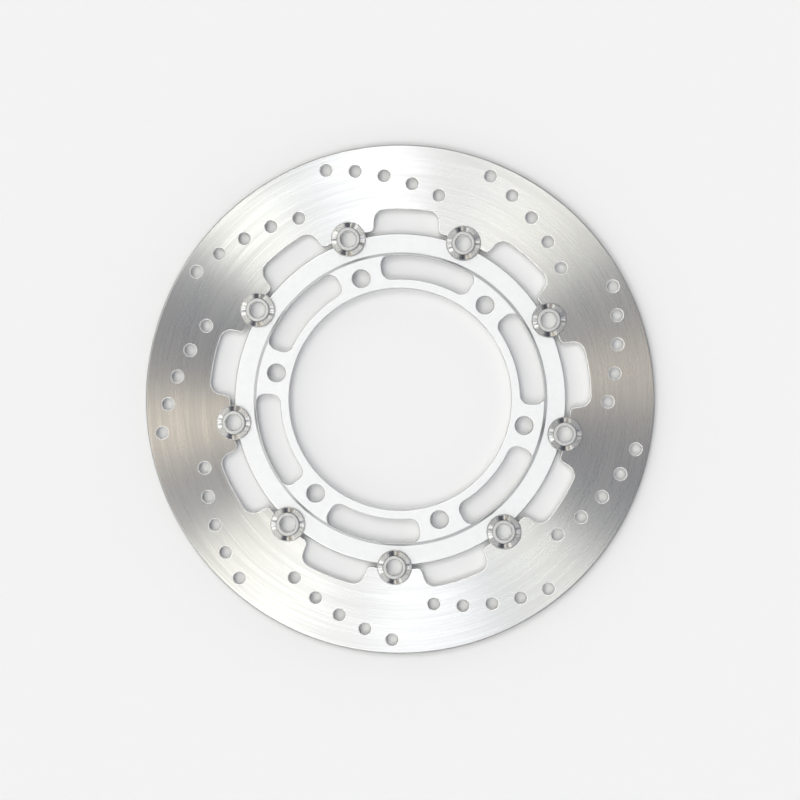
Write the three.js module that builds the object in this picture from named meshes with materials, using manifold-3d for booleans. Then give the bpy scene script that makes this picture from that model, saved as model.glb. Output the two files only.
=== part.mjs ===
// A floating brake disc rotor for a motorcycle, in millimetres, with +Z along its axis.
//
// A drilled steel friction ring floats on an aluminium carrier. Nine hollow drive buttons sit
// in holes that are half in the ring and half in the carrier. Each button has a flange behind
// the disc, and in front of it a flat washer and a wave washer, held by a rolled collar.
//
// The origin is on the axis, in the plane of the carrier's mounting face. The front of the
// disc faces +Z. The first drive button and the first bolt hole are on +Y.

import * as THREE from "three";
import { mergeVertices } from "three/addons/utils/BufferGeometryUtils.js";
import Module from "manifold-3d";

// ---- Driving dimensions -----------------------------------------------------------------

// Friction ring
const DISC_RADIUS = 149;
const BLADE_THICKNESS = 5;
const BLADE_BACK = 2; // height of its back face above the carrier's mounting face
const LUG_RADIUS = 99.4; // inner edge of the lugs that reach in to the buttons
const LUG_CORNER = 3;
const WINDOW_RADIUS = 111.4; // outer edge of the windows between the lugs
const WINDOW_HALF_WIDTH = 19;
const WINDOW_CORNER = 6.5;

// Cross drilling: one trail of holes for each button, stepping in from the rim
const TRAIL_HOLES = 5;
const TRAIL_START_RADIUS = 140.8;
const TRAIL_STEP_IN = 4.85;
const TRAIL_HOLE_SPACING = 17.1;
const DRILLING_RADIUS = 3.5;

// Carrier
const BORE_RADIUS = 65;
const SHOULDER_RADIUS = 85; // middle of the sloping step between flange and rim
const CARRIER_RADIUS = 97;
const BOLT_COUNT = 6;
const BOLT_CIRCLE_RADIUS = 74;
const BOLT_HOLE_RADIUS = 5.25;
const SLOT_INNER_RADIUS = 70.2;
const SLOT_OUTER_RADIUS = 84.5;
const SLOT_HALF_ANGLE = radians(20.2);
const SLOT_CORNER = 5.5;

// Drive buttons and their washers
const BUTTON_COUNT = 9;
const BUTTON_CIRCLE_RADIUS = 98.4;
const BARREL_RADIUS = 6.5;
const BARREL_CLEARANCE = 0.3;
const BUTTON_BORE_RADIUS = 4.7;
const NECK_RADIUS = 5.9; // thinner top of the barrel, inside the washers
const BACK_FLANGE_RADIUS = 9.5;
const BACK_FLANGE_THICKNESS = 1.4;
const COLLAR_RADIUS = 7.9;
const COLLAR_THICKNESS = 1.1;
const WASHER_BORE_RADIUS = 6.25;
const FLAT_WASHER_RADIUS = 10.2;
const FLAT_WASHER_THICKNESS = 0.65;
const WAVE_WASHER_RADIUS = 9.7;
const WAVE_WASHER_THICKNESS = 0.4;
const WAVE_HEIGHT = 0.3; // each way from the washer's middle plane
const WAVE_COUNT = 4;
const WAVE_TURN = radians(137.5); // each washer lies turned by this from the one before
const FLOAT_GAP = 0.25; // between the blade's faces and the button's flange and washer
const STACK_GAP = 0.1; // between the pieces of a button's stack

// Facets of the round surfaces
const RING_SEGMENTS = 108;
const CARRIER_SEGMENTS = 90;
const CORNER_SEGMENTS = 4;
const DRILLING_SEGMENTS = 12;
const BOLT_HOLE_SEGMENTS = 20;
const BUTTON_SEGMENTS = 20;
const WAVE_SEGMENTS = 24;

// ---- Worked out from the dimensions -----------------------------------------------------

const ORIGIN = new THREE.Vector2(0, 0);
const BLADE_FRONT = BLADE_BACK + BLADE_THICKNESS;
const STEP_HEIGHT = BLADE_BACK; // of the flange above the rim, on each side
const FLANGE_THICKNESS = BLADE_THICKNESS + 2 * STEP_HEIGHT;
const BUTTON_PITCH = (2 * Math.PI) / BUTTON_COUNT;
const BOLT_PITCH = (2 * Math.PI) / BOLT_COUNT;
const FIRST_ANGLE = Math.PI / 2; // on +Y
const CUTTER_DEPTH = 30; // every cutter runs right through the part

const STEEL = { color: 0xb4b2ae, roughness: 0.32, metalness: 1 };
const ALUMINIUM = { color: 0xdcdde0, roughness: 0.5, metalness: 0.9 };
const BUTTON_STEEL = { color: 0xc8c8c4, roughness: 0.25, metalness: 1 };
const SPRING_STEEL = { color: 0x9c9c9a, roughness: 0.3, metalness: 1 };

const wasm = await Module();
wasm.setup();

// ---- Outlines ---------------------------------------------------------------------------

function radians(degrees) {
  return (degrees * Math.PI) / 180;
}

function polar(radius, angle) {
  return new THREE.Vector2(radius * Math.cos(angle), radius * Math.sin(angle));
}

// Points from one angle to another on an arc, both ends included.
function arc(centre, radius, from, to, segments) {
  const points = [];
  for (let i = 0; i <= segments; i++) {
    points.push(polar(radius, from + ((to - from) * i) / segments).add(centre));
  }
  return points;
}

function circle(centre, radius, segments) {
  return arc(centre, radius, 0, 2 * Math.PI, segments).slice(0, -1);
}

// A circle whose flats, not its corners, are at the radius, so that a round shaft clears it.
function circleOutside(centre, radius, segments) {
  return circle(centre, radius / Math.cos(Math.PI / segments), segments);
}

function turned(points, angle) {
  return points.map((point) => point.clone().rotateAround(ORIGIN, angle));
}

// The same outline on the other side of the X axis, in the opposite order.
function mirrored(points) {
  return points.map((point) => new THREE.Vector2(point.x, -point.y)).reverse();
}

// The ring's inner edge for a window on +X, from the middle of the window to the middle of the
// next lug. The window's sides are parallel, and its corners and the lug's are round.
function halfWindow() {
  const corner = tangentCentre(WINDOW_RADIUS - WINDOW_CORNER, WINDOW_HALF_WIDTH - WINDOW_CORNER);
  const lugCorner = tangentCentre(LUG_RADIUS + LUG_CORNER, WINDOW_HALF_WIDTH + LUG_CORNER);
  const turn = CORNER_SEGMENTS;
  return [
    ...arc(ORIGIN, WINDOW_RADIUS, 0, corner.angle(), turn).slice(0, -1),
    ...arc(corner, WINDOW_CORNER, corner.angle(), Math.PI / 2, turn),
    ...arc(lugCorner, LUG_CORNER, -Math.PI / 2, lugCorner.angle() - Math.PI, turn),
    ...arc(ORIGIN, LUG_RADIUS, lugCorner.angle(), BUTTON_PITCH / 2, turn).slice(1),
  ];
}

// The point at a distance from the axis and a height above the X axis.
function tangentCentre(distance, height) {
  return new THREE.Vector2(Math.sqrt(distance ** 2 - height ** 2), height);
}

// The ring's whole inner edge, without the buttons' half holes.
function ringInnerEdge() {
  const half = halfWindow();
  const sector = [...mirrored(half).slice(1), ...half.slice(1)];
  const edge = [];
  for (let i = 0; i < BUTTON_COUNT; i++) {
    edge.push(...turned(sector, FIRST_ANGLE + (i + 0.5) * BUTTON_PITCH));
  }
  return edge;
}

// A curved slot on +X with rounded corners.
function slotOutline() {
  const innerCentre = SLOT_INNER_RADIUS + SLOT_CORNER;
  const outerCentre = SLOT_OUTER_RADIUS - SLOT_CORNER;
  const innerAngle = SLOT_HALF_ANGLE - Math.asin(SLOT_CORNER / innerCentre);
  const outerAngle = SLOT_HALF_ANGLE - Math.asin(SLOT_CORNER / outerCentre);
  const end = SLOT_HALF_ANGLE + Math.PI / 2;
  const half = [
    ...arc(ORIGIN, SLOT_OUTER_RADIUS, 0, outerAngle, CORNER_SEGMENTS).slice(0, -1),
    ...arc(polar(outerCentre, outerAngle), SLOT_CORNER, outerAngle, end, CORNER_SEGMENTS),
    ...arc(polar(innerCentre, innerAngle), SLOT_CORNER, end, innerAngle + Math.PI, CORNER_SEGMENTS),
    ...arc(ORIGIN, SLOT_INNER_RADIUS, innerAngle, 0, CORNER_SEGMENTS).slice(1),
  ];
  return [...half, ...mirrored(half).slice(1, -1)];
}

// ---- Solids -----------------------------------------------------------------------------

function extruded(outline, depth, holes = []) {
  const shape = new THREE.Shape(outline);
  shape.holes = holes.map((hole) => new THREE.Path(hole));
  return new THREE.ExtrudeGeometry(shape, { depth, bevelEnabled: false });
}

// A closed profile of (radius, height) points turned about the Z axis.
function revolved(profile, segments) {
  const points = profile.map(([radius, height]) => new THREE.Vector2(radius, height));
  const closed = [...points, points[0].clone()];
  return new THREE.LatheGeometry(closed, segments).rotateX(Math.PI / 2);
}

function toSolid(geometry) {
  geometry.deleteAttribute("normal");
  geometry.deleteAttribute("uv");
  const merged = mergeVertices(geometry);
  const vertProperties = merged.attributes.position.array;
  const triVerts = new Uint32Array(merged.index.array);
  return new wasm.Manifold(new wasm.Mesh({ numProp: 3, vertProperties, triVerts }));
}

function toGeometry(solid) {
  const { vertProperties, triVerts } = solid.getMesh();
  const geometry = new THREE.BufferGeometry();
  geometry.setAttribute("position", new THREE.BufferAttribute(vertProperties, 3));
  geometry.setIndex(new THREE.BufferAttribute(triVerts, 1));
  return geometry;
}

function cutAway(geometry, outlines) {
  let solid = toSolid(geometry);
  for (const outline of outlines) {
    const cutter = extruded(outline, CUTTER_DEPTH).translate(0, 0, -CUTTER_DEPTH / 2);
    solid = solid.subtract(toSolid(cutter));
  }
  return toGeometry(solid);
}

// ---- Holes ------------------------------------------------------------------------------

function buttonPlaces() {
  const places = [];
  for (let i = 0; i < BUTTON_COUNT; i++) {
    places.push(polar(BUTTON_CIRCLE_RADIUS, FIRST_ANGLE + i * BUTTON_PITCH));
  }
  return places;
}

// The holes that ring and carrier share, half each.
function buttonHoles() {
  const radius = BARREL_RADIUS + BARREL_CLEARANCE;
  return buttonPlaces().map((place) => circleOutside(place, radius, BUTTON_SEGMENTS));
}

// Each trail starts near the rim, outside a button, and steps in and clockwise by even steps.
function drillings() {
  const holes = [];
  for (let i = 0; i < BUTTON_COUNT; i++) {
    let angle = FIRST_ANGLE + i * BUTTON_PITCH;
    let radius = TRAIL_START_RADIUS;
    for (let j = 0; j < TRAIL_HOLES; j++) {
      holes.push(circle(polar(radius, angle), DRILLING_RADIUS, DRILLING_SEGMENTS));
      const meanRadius = radius - TRAIL_STEP_IN / 2;
      angle -= Math.sqrt(TRAIL_HOLE_SPACING ** 2 - TRAIL_STEP_IN ** 2) / meanRadius;
      radius -= TRAIL_STEP_IN;
    }
  }
  return holes;
}

function boltHoles() {
  const holes = [];
  for (let i = 0; i < BOLT_COUNT; i++) {
    const place = polar(BOLT_CIRCLE_RADIUS, FIRST_ANGLE + i * BOLT_PITCH);
    holes.push(circle(place, BOLT_HOLE_RADIUS, BOLT_HOLE_SEGMENTS));
  }
  return holes;
}

function slots() {
  const outlines = [];
  for (let i = 0; i < BOLT_COUNT; i++) {
    outlines.push(turned(slotOutline(), FIRST_ANGLE + (i + 0.5) * BOLT_PITCH));
  }
  return outlines;
}

// ---- Pieces -----------------------------------------------------------------------------

function frictionRing() {
  const outer = circle(ORIGIN, DISC_RADIUS, RING_SEGMENTS);
  const blade = extruded(outer, BLADE_THICKNESS, [ringInnerEdge()]);
  blade.translate(0, 0, BLADE_BACK);
  return cutAway(blade, [...buttonHoles(), ...drillings()]);
}

// A thick flange round the bore, and a thinner rim that is level with the friction ring. The
// step between them slopes at 45 degrees, and is the same on the front and the back.
function carrier() {
  const flangeRadius = SHOULDER_RADIUS - STEP_HEIGHT / 2;
  const rimInnerRadius = SHOULDER_RADIUS + STEP_HEIGHT / 2;
  const profile = [
    [BORE_RADIUS, 0],
    [flangeRadius, 0],
    [rimInnerRadius, BLADE_BACK],
    [CARRIER_RADIUS, BLADE_BACK],
    [CARRIER_RADIUS, BLADE_FRONT],
    [rimInnerRadius, BLADE_FRONT],
    [flangeRadius, FLANGE_THICKNESS],
    [BORE_RADIUS, FLANGE_THICKNESS],
  ];
  const blank = revolved(profile, CARRIER_SEGMENTS);
  return cutAway(blank, [...buttonHoles(), ...boltHoles(), ...slots()]);
}

const FLAT_WASHER_BACK = BLADE_FRONT + FLOAT_GAP;
const WAVE_WASHER_BACK = FLAT_WASHER_BACK + FLAT_WASHER_THICKNESS + STACK_GAP + WAVE_HEIGHT;
const COLLAR_BACK = WAVE_WASHER_BACK + WAVE_WASHER_THICKNESS + WAVE_HEIGHT + STACK_GAP;

// A hollow rivet: back flange, barrel, neck and rolled collar.
function button() {
  const flangeFront = BLADE_BACK - FLOAT_GAP;
  return revolved([
    [BUTTON_BORE_RADIUS, flangeFront - BACK_FLANGE_THICKNESS],
    [BACK_FLANGE_RADIUS, flangeFront - BACK_FLANGE_THICKNESS],
    [BACK_FLANGE_RADIUS, flangeFront],
    [BARREL_RADIUS, flangeFront],
    [BARREL_RADIUS, BLADE_FRONT],
    [NECK_RADIUS, BLADE_FRONT],
    [NECK_RADIUS, COLLAR_BACK],
    [COLLAR_RADIUS, COLLAR_BACK],
    [COLLAR_RADIUS, COLLAR_BACK + COLLAR_THICKNESS],
    [BUTTON_BORE_RADIUS, COLLAR_BACK + COLLAR_THICKNESS],
  ], BUTTON_SEGMENTS);
}

function washer(radius, thickness, segments) {
  return revolved([
    [WASHER_BORE_RADIUS, 0],
    [radius, 0],
    [radius, thickness],
    [WASHER_BORE_RADIUS, thickness],
  ], segments);
}

function waveWasher() {
  const geometry = washer(WAVE_WASHER_RADIUS, WAVE_WASHER_THICKNESS, WAVE_SEGMENTS);
  const position = geometry.attributes.position;
  for (let i = 0; i < position.count; i++) {
    const angle = Math.atan2(position.getY(i), position.getX(i));
    position.setZ(i, position.getZ(i) + WAVE_HEIGHT * Math.cos(WAVE_COUNT * angle));
  }
  return geometry;
}

// ---- Assembly ---------------------------------------------------------------------------

function piece(name, geometry, look) {
  geometry.computeVertexNormals();
  const mesh = new THREE.Mesh(geometry, new THREE.MeshStandardMaterial(look));
  mesh.name = name;
  return mesh;
}

const rotor = new THREE.Group();
rotor.name = "brake_disc_rotor";
rotor.add(piece("friction_ring", frictionRing(), STEEL));
rotor.add(piece("carrier", carrier(), ALUMINIUM));

buttonPlaces().forEach((place, i) => {
  const stack = new THREE.Group();
  stack.position.set(place.x, place.y, 0);
  const flat = piece(`flat_washer_${i + 1}`, washer(
    FLAT_WASHER_RADIUS, FLAT_WASHER_THICKNESS, BUTTON_SEGMENTS), BUTTON_STEEL);
  flat.position.z = FLAT_WASHER_BACK;
  const wave = piece(`wave_washer_${i + 1}`, waveWasher(), SPRING_STEEL);
  wave.position.z = WAVE_WASHER_BACK;
  wave.rotation.z = i * WAVE_TURN;
  stack.add(piece(`button_${i + 1}`, button(), BUTTON_STEEL), flat, wave);
  rotor.add(stack);
});

export default rotor;
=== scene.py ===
"""A floating motorcycle brake disc, seen from straight in front, as it lies on a pale surface.

The frame gives the bodies, the places and the main sizes. This script puts a finely made piece
in the place of every CAD node: the friction ring and the carrier with their real edges, the
hollow buttons with their rolled collars, and the washers. Lengths are in metres.
"""

import math

import bpy
import numpy as np
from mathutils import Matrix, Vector
from mathutils.geometry import delaunay_2d_cdt


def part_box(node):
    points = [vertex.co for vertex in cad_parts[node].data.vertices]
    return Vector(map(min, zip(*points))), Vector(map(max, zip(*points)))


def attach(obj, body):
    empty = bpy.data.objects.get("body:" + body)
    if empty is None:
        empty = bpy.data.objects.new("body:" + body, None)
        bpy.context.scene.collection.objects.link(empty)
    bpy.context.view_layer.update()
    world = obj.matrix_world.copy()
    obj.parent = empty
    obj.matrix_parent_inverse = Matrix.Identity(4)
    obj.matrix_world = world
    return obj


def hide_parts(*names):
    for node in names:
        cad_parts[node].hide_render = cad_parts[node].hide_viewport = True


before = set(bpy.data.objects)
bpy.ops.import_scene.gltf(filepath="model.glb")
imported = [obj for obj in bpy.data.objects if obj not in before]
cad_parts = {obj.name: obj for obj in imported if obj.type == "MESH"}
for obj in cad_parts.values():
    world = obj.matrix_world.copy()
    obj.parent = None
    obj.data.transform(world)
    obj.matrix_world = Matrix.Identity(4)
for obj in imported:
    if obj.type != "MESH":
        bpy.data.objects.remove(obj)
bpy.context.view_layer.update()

MM = 0.001

# ---- Sizes from the frame ----------------------------------------------------------------

BUTTON_COUNT = sum(name.startswith("button_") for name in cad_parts)
DISC_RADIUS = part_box("friction_ring")[1].y
BLADE_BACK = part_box("friction_ring")[0].z
BLADE_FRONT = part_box("friction_ring")[1].z
FLANGE_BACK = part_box("carrier")[0].z
FLANGE_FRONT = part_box("carrier")[1].z

# ---- Sizes that the frame doesn't give ---------------------------------------------------

FIRST_ANGLE = math.pi / 2  # of the first button and the first bolt hole, on +Y
BUTTON_PITCH = 2 * math.pi / BUTTON_COUNT

# Friction ring, with one trail of drilled holes for each button
LUG_RADIUS = 99.4 * MM  # inner edge of the lugs that reach in to the buttons
LUG_CORNER = 3 * MM
WINDOW_RADIUS = 111.4 * MM  # outer edge of the windows between the lugs
WINDOW_HALF_WIDTH = 19 * MM
WINDOW_CORNER = 6.5 * MM
TRAIL_HOLES = 5
TRAIL_START_RADIUS = 140.8 * MM
TRAIL_STEP_IN = 4.85 * MM
TRAIL_HOLE_SPACING = 17.1 * MM
DRILLING_RADIUS = 3.5 * MM

# Carrier
CARRIER_RADIUS = 97 * MM
BORE_RADIUS = 65 * MM
SHOULDER_RADIUS = 85 * MM  # middle of the step between flange and rim
SHOULDER_WIDTH = 2 * MM
BOLT_COUNT = 6
BOLT_CIRCLE_RADIUS = 74 * MM
BOLT_HOLE_RADIUS = 5.25 * MM
SLOT_INNER_RADIUS = 70.2 * MM
SLOT_OUTER_RADIUS = 84.5 * MM
SLOT_HALF_ANGLE = math.radians(20.2)
SLOT_CORNER = 5.5 * MM

# Drive buttons
BUTTON_CIRCLE_RADIUS = 98.4 * MM
BUTTON_HOLE_RADIUS = 6.8 * MM
BARREL_RADIUS = 6.5 * MM
NECK_RADIUS = 5.9 * MM  # thinner top of the barrel, inside the washers
BUTTON_BORE_RADIUS = 4.7 * MM
BACK_FLANGE_THICKNESS = 1.4 * MM
COLLAR_RADIUS = 7 * MM
COLLAR_THICKNESS = 1.1 * MM
COLLAR_ROLL = 1 * MM  # rounding of the collar's outside
FLARE = 0.4 * MM  # rounding of the bore's mouth

# Washers
WASHER_BORE_RADIUS = 6.25 * MM
WAVE_WASHER_RADIUS = 9.7 * MM
WAVE_WASHER_THICKNESS = 0.3 * MM
DIP_COUNT = 4
DIP_SHARPNESS = 4  # power that narrows the dips
FIRST_DIP = math.radians(-26)  # direction of a dip on the first washer
DIP_TURN = math.radians(2)  # each washer lies turned by this from the one before

# Radii of the rounded edges
OUTER_EDGE = 0.9 * MM
WINDOW_EDGE = 0.45 * MM
DRILLING_EDGE = 0.5 * MM
CARRIER_RIM_EDGE = 0.8 * MM
CARRIER_EDGE = 0.45 * MM
BUTTON_EDGE = 0.3 * MM
WASHER_EDGE = 0.12 * MM

# ---- Fineness of the meshes --------------------------------------------------------------

CHORD = 0.7 * MM  # about the length of a step along an arc
LEAST_ARC_STEPS = 8
EDGE_STEPS = 4  # round a plate's edge
SHOULDER_STEPS = 8
TURNED_SEGMENTS = 96
ROUND_STEPS = 6  # round a turned piece's corner
LONGEST_ROUND = 0.45  # share of a side that one round may take
HOLD = 0.1  # how far past a round's ends its extra points are, as a share of the round
WELD = 0.0005 * MM  # points that are closer than this are one point
FLAT_NORMAL = 0.9999  # a face counts as level if its normal is this close to the axis

# ---- Materials on a plate ----------------------------------------------------------------

# The wall metal is painted light on the ring, a brighter copy of its steel, and painted shade on
# the carrier, a darker copy of its aluminium.
FACE_METAL, WALL_METAL, RIM_METAL = range(3)

# ---- View and floor ----------------------------------------------------------------------

SENSOR_WIDTH = 36
CAMERA_HEIGHT = 1.6
CAMERA_ROLL = math.radians(18)
VIEW_WIDTH = 468 * MM  # what the picture takes in at the height of the blade's front
VIEW_OFFSET = np.array([-0.23, -0.47]) * MM  # of the picture's middle from the disc's axis
FLOOR_WIDTH = 40
FLOOR_GAP = 0.05 * MM  # keeps the floor clear of the carrier's back
FLOOR_COLOUR = (0.92, 0.92, 0.92, 1)


# ---- Outlines ----------------------------------------------------------------------------

ORIGIN = np.zeros(2)


def polar(radius, angle):
    return np.array([radius * math.cos(angle), radius * math.sin(angle)])


def angle_of(point):
    return math.atan2(point[1], point[0])


def arc(centre, radius, start, end):
    """Points on an arc with both its ends, about a chord apart."""
    steps = max(LEAST_ARC_STEPS, math.ceil(radius * abs(end - start) / CHORD))
    angles = np.linspace(start, end, steps + 1)
    return centre + radius * np.column_stack([np.cos(angles), np.sin(angles)])


def joined(*stretches):
    """One closed outline from stretches that each start where the last one ended."""
    points = np.concatenate(stretches)
    gaps = np.linalg.norm(points - np.roll(points, 1, axis=0), axis=1)
    return points[gaps > WELD]


def circle(centre, radius):
    return joined(arc(centre, radius, 0, 2 * math.pi))


def turned(points, angle):
    cos, sin = math.cos(angle), math.sin(angle)
    return points @ np.array([[cos, sin], [-sin, cos]])


def with_mirror(half):
    """A stretch that starts on the X axis, after its own mirror image below the axis."""
    return np.concatenate([(half * [1, -1])[::-1], half])


def all_round(count, first, stretch):
    """A closed outline from copies of one stretch, turned about the disc's axis."""
    return joined(*[turned(stretch, first + i * 2 * math.pi / count) for i in range(count)])


def corner_centre(distance, height):
    """The point at a distance from the disc's axis and a height above the X axis."""
    return np.array([math.sqrt(distance ** 2 - height ** 2), height])


def half_notch(edge_radius, middle):
    """Half of the notch that a button's hole makes in a round edge, for a button on +X.

    It runs from the round edge, below the X axis, to the notch's own middle, which is at the
    given angle from the hole's centre. The angle where it starts, about the axis, comes too.
    """
    x = BUTTON_CIRCLE_RADIUS ** 2 + edge_radius ** 2 - BUTTON_HOLE_RADIUS ** 2
    x /= 2 * BUTTON_CIRCLE_RADIUS
    start = np.array([x, -math.sqrt(edge_radius ** 2 - x ** 2)])
    centre = np.array([BUTTON_CIRCLE_RADIUS, 0])
    notch = arc(centre, BUTTON_HOLE_RADIUS, angle_of(start - centre), middle)
    return notch, angle_of(start)


def ring_inner_edge():
    """The windows, the lugs and the half-round notches for the buttons."""
    corner = corner_centre(WINDOW_RADIUS - WINDOW_CORNER, WINDOW_HALF_WIDTH - WINDOW_CORNER)
    lug = corner_centre(LUG_RADIUS + LUG_CORNER, WINDOW_HALF_WIDTH + LUG_CORNER)
    notch, notch_start = half_notch(LUG_RADIUS, 0)
    half = np.concatenate([
        arc(ORIGIN, WINDOW_RADIUS, 0, angle_of(corner)),
        arc(corner, WINDOW_CORNER, angle_of(corner), math.pi / 2),
        arc(lug, LUG_CORNER, -math.pi / 2, angle_of(lug) - math.pi),
        arc(ORIGIN, LUG_RADIUS, angle_of(lug), BUTTON_PITCH / 2 + notch_start),
        turned(notch, BUTTON_PITCH / 2),
    ])
    return all_round(BUTTON_COUNT, FIRST_ANGLE + BUTTON_PITCH / 2, with_mirror(half))


def carrier_outer_edge():
    notch, notch_start = half_notch(CARRIER_RADIUS, -math.pi)
    half = np.concatenate([
        arc(ORIGIN, CARRIER_RADIUS, 0, BUTTON_PITCH / 2 + notch_start),
        turned(notch, BUTTON_PITCH / 2),
    ])
    return all_round(BUTTON_COUNT, FIRST_ANGLE + BUTTON_PITCH / 2, with_mirror(half))


def slot_outline():
    """A curved slot with rounded corners, centred on the X axis."""
    outer = SLOT_OUTER_RADIUS - SLOT_CORNER
    inner = SLOT_INNER_RADIUS + SLOT_CORNER
    outer_angle = SLOT_HALF_ANGLE - math.asin(SLOT_CORNER / outer)
    inner_angle = SLOT_HALF_ANGLE - math.asin(SLOT_CORNER / inner)
    side = SLOT_HALF_ANGLE + math.pi / 2
    half = np.concatenate([
        arc(ORIGIN, SLOT_OUTER_RADIUS, 0, outer_angle),
        arc(polar(outer, outer_angle), SLOT_CORNER, outer_angle, side),
        arc(polar(inner, inner_angle), SLOT_CORNER, side, inner_angle + math.pi),
        arc(ORIGIN, SLOT_INNER_RADIUS, inner_angle, 0),
    ])
    return joined(with_mirror(half))


def drillings():
    """The trails of holes through the friction ring, one trail to each button."""
    holes = []
    for i in range(BUTTON_COUNT):
        angle = FIRST_ANGLE + i * BUTTON_PITCH
        radius = TRAIL_START_RADIUS
        for _ in range(TRAIL_HOLES):
            holes.append(circle(polar(radius, angle), DRILLING_RADIUS))
            along = math.sqrt(TRAIL_HOLE_SPACING ** 2 - TRAIL_STEP_IN ** 2)
            angle -= along / (radius - TRAIL_STEP_IN / 2)
            radius -= TRAIL_STEP_IN
    return holes


def bolt_holes_and_slots():
    pitch = 2 * math.pi / BOLT_COUNT
    angles = [FIRST_ANGLE + i * pitch for i in range(BOLT_COUNT)]
    holes = [circle(polar(BOLT_CIRCLE_RADIUS, angle), BOLT_HOLE_RADIUS) for angle in angles]
    return holes + [turned(slot_outline(), angle + pitch / 2) for angle in angles]


# ---- Plates ------------------------------------------------------------------------------

def to_left(loop, distance):
    """A closed outline with every side moved to the left of its own direction."""
    along = np.roll(loop, -1, axis=0) - loop
    along /= np.linalg.norm(along, axis=1, keepdims=True)
    left = np.column_stack([-along[:, 1], along[:, 0]])
    left_before = np.roll(left, 1, axis=0)
    opening = 1 + (left * left_before).sum(axis=1, keepdims=True)
    return loop + distance * (left + left_before) / opening


def inside(points, loop):
    """Which of the points are inside a closed outline, by the even-odd rule."""
    result = np.zeros(len(points), bool)
    for a, b in zip(loop, np.roll(loop, -1, axis=0)):
        passes = (points[:, 1] < a[1]) != (points[:, 1] < b[1])
        with np.errstate(divide="ignore", invalid="ignore"):
            crossing = a[0] + (points[:, 1] - a[1]) * (b[0] - a[0]) / (b[1] - a[1])
        result ^= passes & (points[:, 0] < crossing)
    return result


def filled(outer, holes, creases):
    """Points and triangles between an outline and its holes, with edges along the creases."""
    points, edges = [], []
    for loop in [outer, *holes, *creases]:
        first = len(points)
        points += [Vector(point) for point in loop]
        edges += [(first + i, first + (i + 1) % len(loop)) for i in range(len(loop))]
    result = delaunay_2d_cdt(points, edges, [], 0, WELD)
    flat = np.array([point[:] for point in result[0]])
    triangles = np.array(result[2])
    middles = flat[triangles].mean(axis=1)
    kept = inside(middles, outer)
    for hole in holes:
        kept &= ~inside(middles, hole)
    used, triangles = np.unique(triangles[kept], return_inverse=True)
    return flat[used], triangles.reshape(-1, 3)


def rims(triangles):
    """The loops of points round some triangles, each with the triangles on its left."""
    sides = {(int(t[i - 1]), int(t[i])) for t in triangles for i in range(3)}
    following = {a: b for a, b in sides if (b, a) not in sides}
    loops = []
    while following:
        start = min(following)
        loop = [start]
        step = following.pop(start)
        while step != start:
            loop.append(step)
            step = following.pop(step)
        loops.append(loop)
    return loops


def nearest(loops, point):
    """The number of the loop that comes nearest to a point."""
    gaps = [np.linalg.norm(loop - point, axis=1).min() for loop in loops]
    return int(np.argmin(gaps))


def edge_rows(loop, edge, front, back):
    """The rows of points round a plate's edge, from its front to its back.

    The first half of them turns a quarter circle down from the front, the rest one to the back.
    """
    rows = []
    turns = [(side, step) for side in (1, -1) for step in range(1, EDGE_STEPS + 1)[::side]]
    for side, step in turns:
        turn = step / EDGE_STEPS * math.pi / 2
        moved = to_left(loop, -edge * math.sin(turn))
        height = (front if side > 0 else back)(np.linalg.norm(moved, axis=1))
        height -= side * edge * (1 - math.cos(turn))
        rows.append(np.column_stack([moved, height]))
    return rows


def plate(name, outline, front, back, creases=()):
    """A mesh between a front and a back surface, with rounded edges all round.

    The outline is a list of closed loops, the outer one first, each with the radius of its
    rounded edge and the number of the material on its edge and wall. Front and back give
    heights from distances to the axis.
    """
    caps = [to_left(outline[0][0], outline[0][1])]
    caps += [to_left(loop, -edge) for loop, edge, _ in outline[1:]]
    flat, triangles = filled(caps[0], caps[1:], creases)
    reach = np.linalg.norm(flat, axis=1)
    points = [np.column_stack([flat, surface(reach)]) for surface in (front, back)]
    faces = [triangles, (triangles + len(flat))[:, ::-1]]
    slots = [np.full(2 * len(triangles), FACE_METAL)]
    count = 2 * len(flat)
    for rim in rims(triangles):
        loop = flat[rim]
        _, edge, slot = outline[nearest(caps, loop[0])]
        rows = [np.array(rim)]
        for row in edge_rows(loop, edge, front, back):
            points.append(row)
            rows.append(np.arange(count, count + len(row)))
            count += len(row)
        rows.append(np.array(rim) + len(flat))
        for above, below in zip(rows, rows[1:]):
            faces.append(np.column_stack([above, below, np.roll(below, -1), np.roll(above, -1)]))
            slots.append(np.full(len(above), slot))
    sides = [side for group in faces for side in group.tolist()]
    mesh = mesh_of(name, np.concatenate(points), sides)
    finish_faces(mesh, np.concatenate(slots))
    return linked(name, mesh)


def finish_faces(mesh, slots):
    """Gives a plate's faces their materials, and smooth shading to those that aren't level.

    Where the front or the back slopes, it has the walls' metal, which on the carrier's shoulder is
    painted shade.
    """
    normals = np.array([abs(polygon.normal.z) for polygon in mesh.polygons])
    sloping = normals < FLAT_NORMAL
    slots[(slots == FACE_METAL) & sloping] = WALL_METAL
    mesh.polygons.foreach_set("use_smooth", sloping)
    mesh.polygons.foreach_set("material_index", slots.astype(np.int32))


def mesh_of(name, points, faces):
    mesh = bpy.data.meshes.new(name)
    mesh.from_pydata(points, [], faces)
    return mesh


def linked(name, data):
    piece = bpy.data.objects.new(name, data)
    bpy.context.scene.collection.objects.link(piece)
    return piece


def level(height):
    return lambda radius: np.full_like(radius, height)


def shoulder(flange, rim):
    """Heights that pass smoothly from the flange's to the rim's at the carrier's shoulder."""
    def height(radius):
        share = np.clip((radius - SHOULDER_RADIUS) / SHOULDER_WIDTH + 0.5, 0, 1)
        return flange + (rim - flange) * share ** 2 * (3 - 2 * share)
    return height


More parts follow.
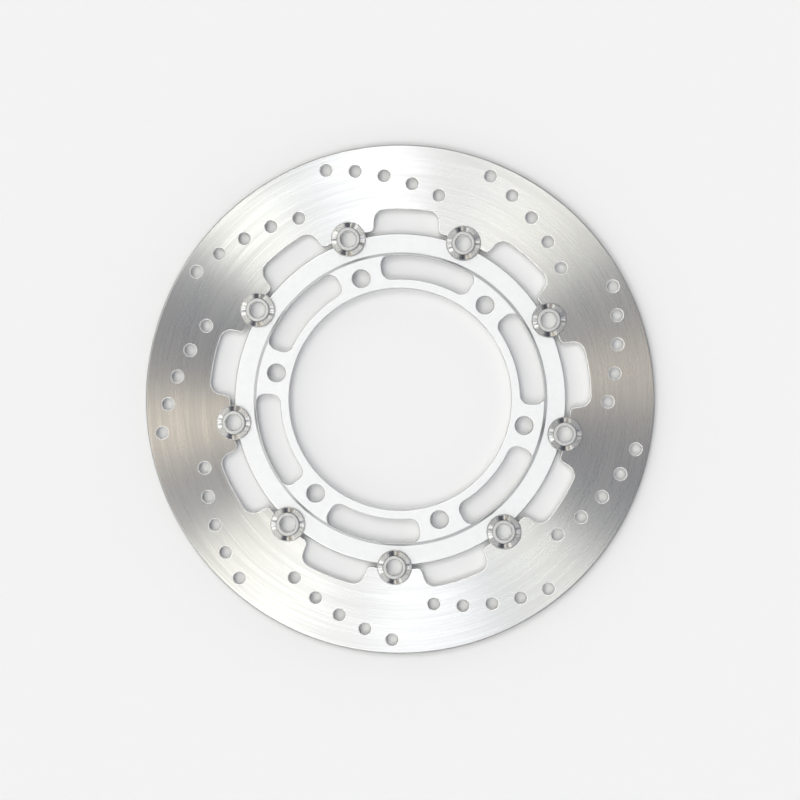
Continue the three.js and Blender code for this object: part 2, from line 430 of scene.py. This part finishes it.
def friction_ring():
    outline = [(circle(ORIGIN, DISC_RADIUS), OUTER_EDGE, RIM_METAL)]
    # The walls of the windows and the drilled holes take the brightened steel: painted light.
    outline += [(ring_inner_edge(), WINDOW_EDGE, WALL_METAL)]
    outline += [(hole, DRILLING_EDGE, WALL_METAL) for hole in drillings()]
    return plate("drilled_ring", outline, level(BLADE_FRONT), level(BLADE_BACK))


def carrier():
    holes = [circle(ORIGIN, BORE_RADIUS), *bolt_holes_and_slots()]
    # The carrier's edges and walls take the darker aluminium: painted shade.
    outline = [(carrier_outer_edge(), CARRIER_RIM_EDGE, WALL_METAL)]
    outline += [(loop, CARRIER_EDGE, WALL_METAL) for loop in holes]
    start = SHOULDER_RADIUS - SHOULDER_WIDTH / 2
    step = SHOULDER_WIDTH / SHOULDER_STEPS
    creases = [circle(ORIGIN, start + i * step) for i in range(SHOULDER_STEPS + 1)]
    front = shoulder(FLANGE_FRONT, BLADE_FRONT)
    back = shoulder(FLANGE_BACK, BLADE_BACK)
    return plate("carrier_spider", outline, front, back, creases)


# ---- Turned pieces -----------------------------------------------------------------------

def rounded(corners):
    """A closed profile from corners with a radius, a height and a rounding each.

    A point just beyond each end of a round keeps the shading of the side next to it straight.
    """
    corners = [(np.array(corner[:2]), corner[2]) for corner in corners]
    result = []
    for i, (here, rounding) in enumerate(corners):
        ends = []
        for other, _ in (corners[i - 1], corners[(i + 1) % len(corners)]):
            side = np.linalg.norm(other - here)
            ends.append((other - here) / side * min(rounding, LONGEST_ROUND * side))
        result.append(here + (1 + HOLD) * ends[0])
        for t in np.linspace(0, 1, ROUND_STEPS + 1):
            result.append(here + (1 - t) ** 2 * ends[0] + t ** 2 * ends[1])
        result.append(here + (1 + HOLD) * ends[1])
    return result


def revolved(name, profile, place):
    """A closed profile, anticlockwise with the radius to the right, turned about an axis."""
    angles = np.linspace(0, 2 * math.pi, TURNED_SEGMENTS, endpoint=False)
    points = [(r * math.cos(angle), r * math.sin(angle), z) for r, z in profile for angle in angles]
    row = np.arange(TURNED_SEGMENTS)
    faces = []
    for i in range(len(profile)):
        here = row + i * TURNED_SEGMENTS
        beyond = row + (i + 1) % len(profile) * TURNED_SEGMENTS
        faces += np.column_stack([here, np.roll(here, -1), np.roll(beyond, -1), beyond]).tolist()
    piece = linked(name, mesh_of(name, points, faces))
    piece.data.shade_smooth()
    piece.location = place
    return piece


def radius_and_heights(node):
    low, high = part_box(node)
    return (high.x - low.x) / 2, low.z, high.z


def button_place(index):
    low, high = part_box(f"button_{index}")
    return Vector(((low.x + high.x) / 2, (low.y + high.y) / 2, 0))


def button(index):
    """A hollow rivet: a back flange, a barrel, a neck, and a collar rolled over the washers.

    The faces of its bore have the second material, a brighter copy of the button steel: painted
    light in the hollow.
    """
    flange_radius, back, front = radius_and_heights(f"button_{index}")
    profile = rounded([
        (BUTTON_BORE_RADIUS, back, BUTTON_EDGE),
        (flange_radius, back, BUTTON_EDGE),
        (flange_radius, back + BACK_FLANGE_THICKNESS, BUTTON_EDGE),
        (BARREL_RADIUS, back + BACK_FLANGE_THICKNESS, BUTTON_EDGE),
        (BARREL_RADIUS, BLADE_FRONT, BUTTON_EDGE),
        (NECK_RADIUS, BLADE_FRONT, BUTTON_EDGE),
        (NECK_RADIUS, front - COLLAR_THICKNESS, BUTTON_EDGE),
        (COLLAR_RADIUS, front - COLLAR_THICKNESS, BUTTON_EDGE),
        (COLLAR_RADIUS, front, COLLAR_ROLL),
        (BUTTON_BORE_RADIUS, front, FLARE),
    ])
    piece = revolved(f"hollow_button_{index}", profile, button_place(index))
    # The bore's faces take the brightened steel: painted light in the hollow.
    reaches = [polygon.center.xy.length for polygon in piece.data.polygons]
    in_bore = np.array(reaches) < BUTTON_BORE_RADIUS
    piece.data.polygons.foreach_set("material_index", in_bore.astype(np.int32))
    return piece


def washer_profile(radius, back, front):
    return rounded([
        (WASHER_BORE_RADIUS, back, WASHER_EDGE),
        (radius, back, WASHER_EDGE),
        (radius, front, WASHER_EDGE),
        (WASHER_BORE_RADIUS, front, WASHER_EDGE),
    ])


def flat_washer(index):
    profile = washer_profile(*radius_and_heights(f"flat_washer_{index}"))
    return revolved(f"plain_washer_{index}", profile, button_place(index))


def wave_washer(index):
    """A thin washer with dips pressed into it, each washer turned further than the last."""
    radius, low, high = radius_and_heights(f"wave_washer_{index}")
    half = WAVE_WASHER_THICKNESS / 2
    middle = (low + high) / 2
    profile = washer_profile(WAVE_WASHER_RADIUS, middle - half, middle + half)
    piece = revolved(f"spring_washer_{index}", profile, button_place(index))
    dip_height = (high - low) / 2 - half
    for vertex in piece.data.vertices:
        angle = math.atan2(vertex.co.y, vertex.co.x) - FIRST_DIP - (index - 1) * DIP_TURN
        dip = (0.5 + 0.5 * math.cos(DIP_COUNT * angle)) ** DIP_SHARPNESS
        vertex.co.z += dip_height * (1 - 2 * dip)
    return piece


# ---- Shader nodes ------------------------------------------------------------------------

# Places of the colour sockets on a Mix node
MIX_COLOURS = (6, 7)
MIX_RESULT = 2


def node(tree, kind, *values, **settings):
    """A node with its settings, and with values or other nodes' outputs on its inputs."""
    made = tree.nodes.new(kind)
    for name, value in settings.items():
        setattr(made, name, value)
    for socket, value in zip(made.inputs, values):
        if isinstance(value, bpy.types.NodeSocket):
            tree.links.new(value, socket)
        else:
            socket.default_value = value
    return made


def number(tree, operation, *values):
    return node(tree, "ShaderNodeMath", *values, operation=operation).outputs[0]


def vector(tree, operation, *values):
    return node(tree, "ShaderNodeVectorMath", *values, operation=operation)


def ranged(tree, value, low, high, first=0, last=1):
    """A value's place between low and high, eased in and out, as a number from first to last."""
    made = node(tree, "ShaderNodeMapRange", value, low, high, first, last,
                interpolation_type="SMOOTHSTEP")
    return made.outputs[0]


def blend(tree, share, first, second):
    """A colour between two colours."""
    made = node(tree, "ShaderNodeMix", share, data_type="RGBA")
    for place, colour in zip(MIX_COLOURS, (first, second)):
        if isinstance(colour, bpy.types.NodeSocket):
            tree.links.new(colour, made.inputs[place])
        else:
            made.inputs[place].default_value = (*colour, 1)
    return made.outputs[MIX_RESULT]


def noise(tree, coordinates, scale, detail):
    made = node(tree, "ShaderNodeTexNoise", coordinates, noise_dimensions="3D")
    made.inputs["Scale"].default_value = scale
    made.inputs["Detail"].default_value = detail
    return made.outputs[0]


# ---- Patterns: functions that add their nodes to a tree ----------------------------------

TURNED_DETAIL = 2
SPECKLE_DETAIL = 3
NOISE_RANGE = (0.3, 0.7)  # where most of a noise's values are


def turned_marks(across, along):
    """Fine circles about the piece's axis.

    A mark is about across wide, and runs about along radians round the axis.
    """
    def add(tree):
        place = node(tree, "ShaderNodeTexCoord").outputs["Object"]
        flat = vector(tree, "MULTIPLY", place, (1, 1, 0)).outputs[0]
        height = node(tree, "ShaderNodeSeparateXYZ", place).outputs[2]
        reach = number(tree, "ADD", vector(tree, "LENGTH", flat).outputs["Value"], height)
        ring = number(tree, "DIVIDE", reach, across)
        direction = vector(tree, "NORMALIZE", flat).outputs[0]
        around = vector(tree, "MULTIPLY", direction, (1 / along, 1 / along, 0)).outputs[0]
        lift = node(tree, "ShaderNodeCombineXYZ", 0, 0, ring).outputs[0]
        return noise(tree, vector(tree, "ADD", around, lift).outputs[0], 1, TURNED_DETAIL)

    return add


def speckle(size):
    def add(tree):
        place = node(tree, "ShaderNodeTexCoord").outputs["Object"]
        return noise(tree, place, 1 / size, SPECKLE_DETAIL)

    return add


def spread(pattern, low=0, high=1):
    """A pattern with most of its values spread out from low to high."""
    return lambda tree: ranged(tree, pattern(tree), *NOISE_RANGE, low, high)


def summed(first, second):
    return lambda tree: number(tree, "ADD", first(tree), second(tree))


# ---- Materials ---------------------------------------------------------------------------

ACROSS_THE_MARKS = 0.25  # of a turn


def metal(name, colours, patches, roughness, relief, relief_depth):
    """A metal that goes from one colour to another over its patches.

    Patches, roughness and relief are patterns.
    """
    made = bpy.data.materials.new(name)
    made.use_nodes = True
    tree = made.node_tree
    shader = tree.nodes["Principled BSDF"]
    shader.inputs["Metallic"].default_value = 1
    tree.links.new(blend(tree, patches(tree), *colours), shader.inputs["Base Color"])
    tree.links.new(roughness(tree), shader.inputs["Roughness"])
    bump = node(tree, "ShaderNodeBump")
    bump.inputs["Strength"].default_value = 1
    bump.inputs["Distance"].default_value = relief_depth
    tree.links.new(relief(tree), bump.inputs["Height"])
    tree.links.new(bump.outputs[0], shader.inputs["Normal"])
    return made


def brushed(made):
    """The same metal, with its reflections drawn out across circles about the axis."""
    tree = made.node_tree
    shader = tree.nodes["Principled BSDF"]
    shader.inputs["Anisotropic"].default_value = 1
    shader.inputs["Anisotropic Rotation"].default_value = ACROSS_THE_MARKS
    tangent = node(tree, "ShaderNodeTangent", direction_type="RADIAL", axis="Z")
    tree.links.new(tangent.outputs[0], shader.inputs["Tangent"])
    return made


def ground_steel():
    """The blade's faces: stainless steel ground in circles, so that light fans out on them."""
    fine = spread(turned_marks(0.25 * MM, 0.3), -0.03, 0.03)
    bands = spread(turned_marks(3 * MM, 1.5), 0.27, 0.31)
    return brushed(metal(
        "ground_steel",
        colours=[(0.425, 0.422, 0.415), (0.465, 0.461, 0.453)],
        patches=spread(turned_marks(0.35 * MM, 0.4)),
        roughness=summed(fine, bands),
        relief=turned_marks(0.3 * MM, 0.5),
        relief_depth=0.002 * MM,
    ))


def brightened_wall_steel():
    """The edges and walls of the blade's holes and windows, in a copy of the blade's steel made
    about twice as bright: painted light in the holes and windows.
    """
    marks = turned_marks(0.2 * MM, 0.2)
    return metal(
        "brightened_wall_steel",
        colours=[(0.88, 0.876, 0.868), (0.93, 0.926, 0.918)],
        patches=speckle(1.5 * MM),
        roughness=spread(marks, 0.44, 0.56),
        relief=marks,
        relief_depth=0.004 * MM,
    )


def rim_steel():
    """The blade's outer edge: turned steel."""
    marks = turned_marks(0.2 * MM, 0.6)
    return metal(
        "rim_steel",
        colours=[(0.45, 0.448, 0.444), (0.51, 0.508, 0.503)],
        patches=speckle(2 * MM),
        roughness=spread(marks, 0.28, 0.38),
        relief=marks,
        relief_depth=0.004 * MM,
    )


def satin_aluminium():
    """The carrier's level faces: pale aluminium with a fine blasted grain."""
    return metal(
        "satin_aluminium",
        colours=[(0.86, 0.863, 0.867), (0.9, 0.903, 0.907)],
        patches=speckle(4 * MM),
        roughness=spread(speckle(0.8 * MM), 0.66, 0.76),
        relief=speckle(0.35 * MM),
        relief_depth=0.015 * MM,
    )


def shaded_turned_aluminium():
    """The carrier's bore, its other walls, its rounded edges and its shoulder: turned aluminium in
    a darker copy of the faces' colour, painted shade along them.
    """
    marks = turned_marks(0.25 * MM, 0.3)
    return metal(
        "shaded_turned_aluminium",
        colours=[(0.66, 0.663, 0.666), (0.72, 0.723, 0.726)],
        patches=speckle(3 * MM),
        roughness=spread(marks, 0.34, 0.44),
        relief=marks,
        relief_depth=0.006 * MM,
    )


def bright_steel():
    """The outside of the buttons: turned and plated steel."""
    marks = turned_marks(0.15 * MM, 0.5)
    return metal(
        "bright_steel",
        colours=[(0.38, 0.38, 0.376), (0.44, 0.44, 0.436)],
        patches=speckle(1 * MM),
        roughness=spread(marks, 0.42, 0.52),
        relief=marks,
        relief_depth=0.002 * MM,
    )


def brightened_bore_steel():
    """The bores of the buttons, in a copy of the button steel made more than twice as bright:
    painted light in the hollows.
    """
    marks = turned_marks(0.2 * MM, 0.4)
    return metal(
        "brightened_bore_steel",
        colours=[(0.9, 0.9, 0.895), (0.95, 0.95, 0.945)],
        patches=speckle(1 * MM),
        roughness=spread(marks, 0.48, 0.6),
        relief=marks,
        relief_depth=0.003 * MM,
    )


def spring_steel():
    """The washers: rolled strip, darker and smoother than the buttons."""
    return metal(
        "spring_steel",
        colours=[(0.26, 0.258, 0.253), (0.32, 0.317, 0.31)],
        patches=speckle(1.2 * MM),
        roughness=spread(speckle(0.6 * MM), 0.2, 0.3),
        relief=speckle(0.3 * MM),
        relief_depth=0.003 * MM,
    )


# ---- Light, floor and camera -------------------------------------------------------------

# The soft boxes above the disc: the azimuths in the picture, in degrees anticlockwise from its
# right, where each one starts and ends, how softly it ends, and its colour.
SOFT_BOXES = [
    (215, 230, 3, (5.1, 5.05, 4.5)),
    (230, 250, 5, (5.6, 5.6, 5.3)),
    (250, 270, 5, (3.3, 3.35, 3.4)),
    (270, 292, 5, (2.3, 2.36, 2.46)),
    (292, 320, 4, (0.3, 0.3, 0.32)),
    (48, 86, 16, (1.12, 1.11, 1.01)),
    (86, 105, 4, (5.5, 5.5, 5.55)),
    (105, 122, 4, (3.5, 3.6, 3.68)),
    (122, 142, 3, (6.5, 6.55, 5.95)),
    (179, 194, 2, (4.3, 3.75, 2.85)),
]
# The light between the soft boxes, straight above, and lower down. The glow is written as a
# soft box is.
ROOM = (0.33, 0.35, 0.43)
OVERHEAD = (0.5, 0.5, 0.5)
HORIZON = (0.17, 0.17, 0.18)
HORIZON_GLOW = (125, 265, 70, (0.54, 0.54, 0.53))
WALLS = (0.78, 0.78, 0.78)
BACKDROP = (0.9, 0.9, 0.9)  # what only the camera sees, past the floor


def leanings(*degrees):
    """Sines of angles from straight up."""
    return [math.sin(math.radians(angle)) for angle in degrees]


# Where the light overhead, the soft boxes, the horizon and the walls pass into one another
OVERHEAD_EDGE = leanings(2, 8)
HORIZON_EDGE = leanings(22, 40)
WALLS_EDGE = leanings(56, 70)


def soft_box(tree, direction, start, end, softness):
    """How much of a soft box there is in a direction, from 0 to 1."""
    middle = math.radians((start + end) / 2) - CAMERA_ROLL
    half = math.radians(end - start) / 2
    soft = math.radians(softness) / 2
    toward = vector(tree, "DOT_PRODUCT", direction, (*polar(1, middle), 0)).outputs["Value"]
    return ranged(tree, toward, math.cos(half + soft), math.cos(half - soft))


def studio():
    """Soft boxes in a plain room, and an even backdrop where the camera looks past the floor.

    All the light is the world's, and depends only on the direction that it comes from.
    """
    world = bpy.data.worlds.new("studio")
    bpy.context.scene.world = world
    world.use_nodes = True
    tree = world.node_tree
    place = node(tree, "ShaderNodeTexCoord").outputs["Generated"]
    flat = vector(tree, "MULTIPLY", place, (1, 1, 0)).outputs[0]
    direction = vector(tree, "NORMALIZE", flat).outputs[0]
    light = ROOM
    for start, end, softness, colour in SOFT_BOXES:
        share = soft_box(tree, direction, start, end, softness)
        light = vector(tree, "MULTIPLY_ADD", share, colour, light).outputs[0]
    *glow_place, glow_colour = HORIZON_GLOW
    glow = soft_box(tree, direction, *glow_place)
    horizon = vector(tree, "MULTIPLY_ADD", glow, glow_colour, HORIZON).outputs[0]
    leaning = vector(tree, "LENGTH", flat).outputs["Value"]
    light = blend(tree, ranged(tree, leaning, *OVERHEAD_EDGE), OVERHEAD, light)
    light = blend(tree, ranged(tree, leaning, *HORIZON_EDGE), light, horizon)
    light = blend(tree, ranged(tree, leaning, *WALLS_EDGE), light, WALLS)
    seen = node(tree, "ShaderNodeLightPath").outputs["Is Camera Ray"]
    light = blend(tree, seen, light, BACKDROP)
    tree.links.new(light, tree.nodes["Background"].inputs["Color"])


def floor():
    made = bpy.data.materials.new("pale_floor")
    made.use_nodes = True
    shader = made.node_tree.nodes["Principled BSDF"]
    shader.inputs["Base Color"].default_value = FLOOR_COLOUR
    shader.inputs["Roughness"].default_value = 1
    shader.inputs["Specular IOR Level"].default_value = 0
    half = FLOOR_WIDTH / 2
    corners = np.array([(-half, -half, 0), (half, -half, 0), (half, half, 0), (-half, half, 0)])
    piece = linked("floor", mesh_of("floor", corners, [(0, 1, 2, 3)]))
    piece.location.z = -FLOOR_GAP
    piece.data.materials.append(made)


def camera():
    """Straight above the disc, turned as the picture is."""
    data = bpy.data.cameras.new("camera")
    data.sensor_width = SENSOR_WIDTH
    data.lens = SENSOR_WIDTH * (CAMERA_HEIGHT - BLADE_FRONT) / VIEW_WIDTH
    data.clip_end = 2 * FLOOR_WIDTH
    piece = linked("camera", data)
    piece.location = (*turned(VIEW_OFFSET, -CAMERA_ROLL), CAMERA_HEIGHT)
    piece.rotation_euler = (0, 0, -CAMERA_ROLL)
    bpy.context.scene.camera = piece


# ---- The scene ---------------------------------------------------------------------------

def finished(piece, body, node_name, slot, *materials):
    """Puts a piece in the place of a CAD node, on its body, with its materials."""
    for made in materials:
        piece.data.materials.append(made)
    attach(piece, body)
    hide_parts(node_name)


camera()
studio()
floor()
bpy.context.scene.view_settings.view_transform = "Standard"

finished(friction_ring(), "friction_ring", "friction_ring", "friction_ring",
         ground_steel(), brightened_wall_steel(), rim_steel())
finished(carrier(), "carrier", "carrier", "carrier", satin_aluminium(), shaded_turned_aluminium())
button_metal = bright_steel()
brightened_bore_metal = brightened_bore_steel()
washer_metal = spring_steel()
for i in range(1, BUTTON_COUNT + 1):
    body = f"button_{i}"
    finished(button(i), body, f"button_{i}", "button", button_metal, brightened_bore_metal)
    finished(flat_washer(i), body, f"flat_washer_{i}", "flat_washer", washer_metal)
    finished(wave_washer(i), body, f"wave_washer_{i}", "wave_washer", washer_metal)
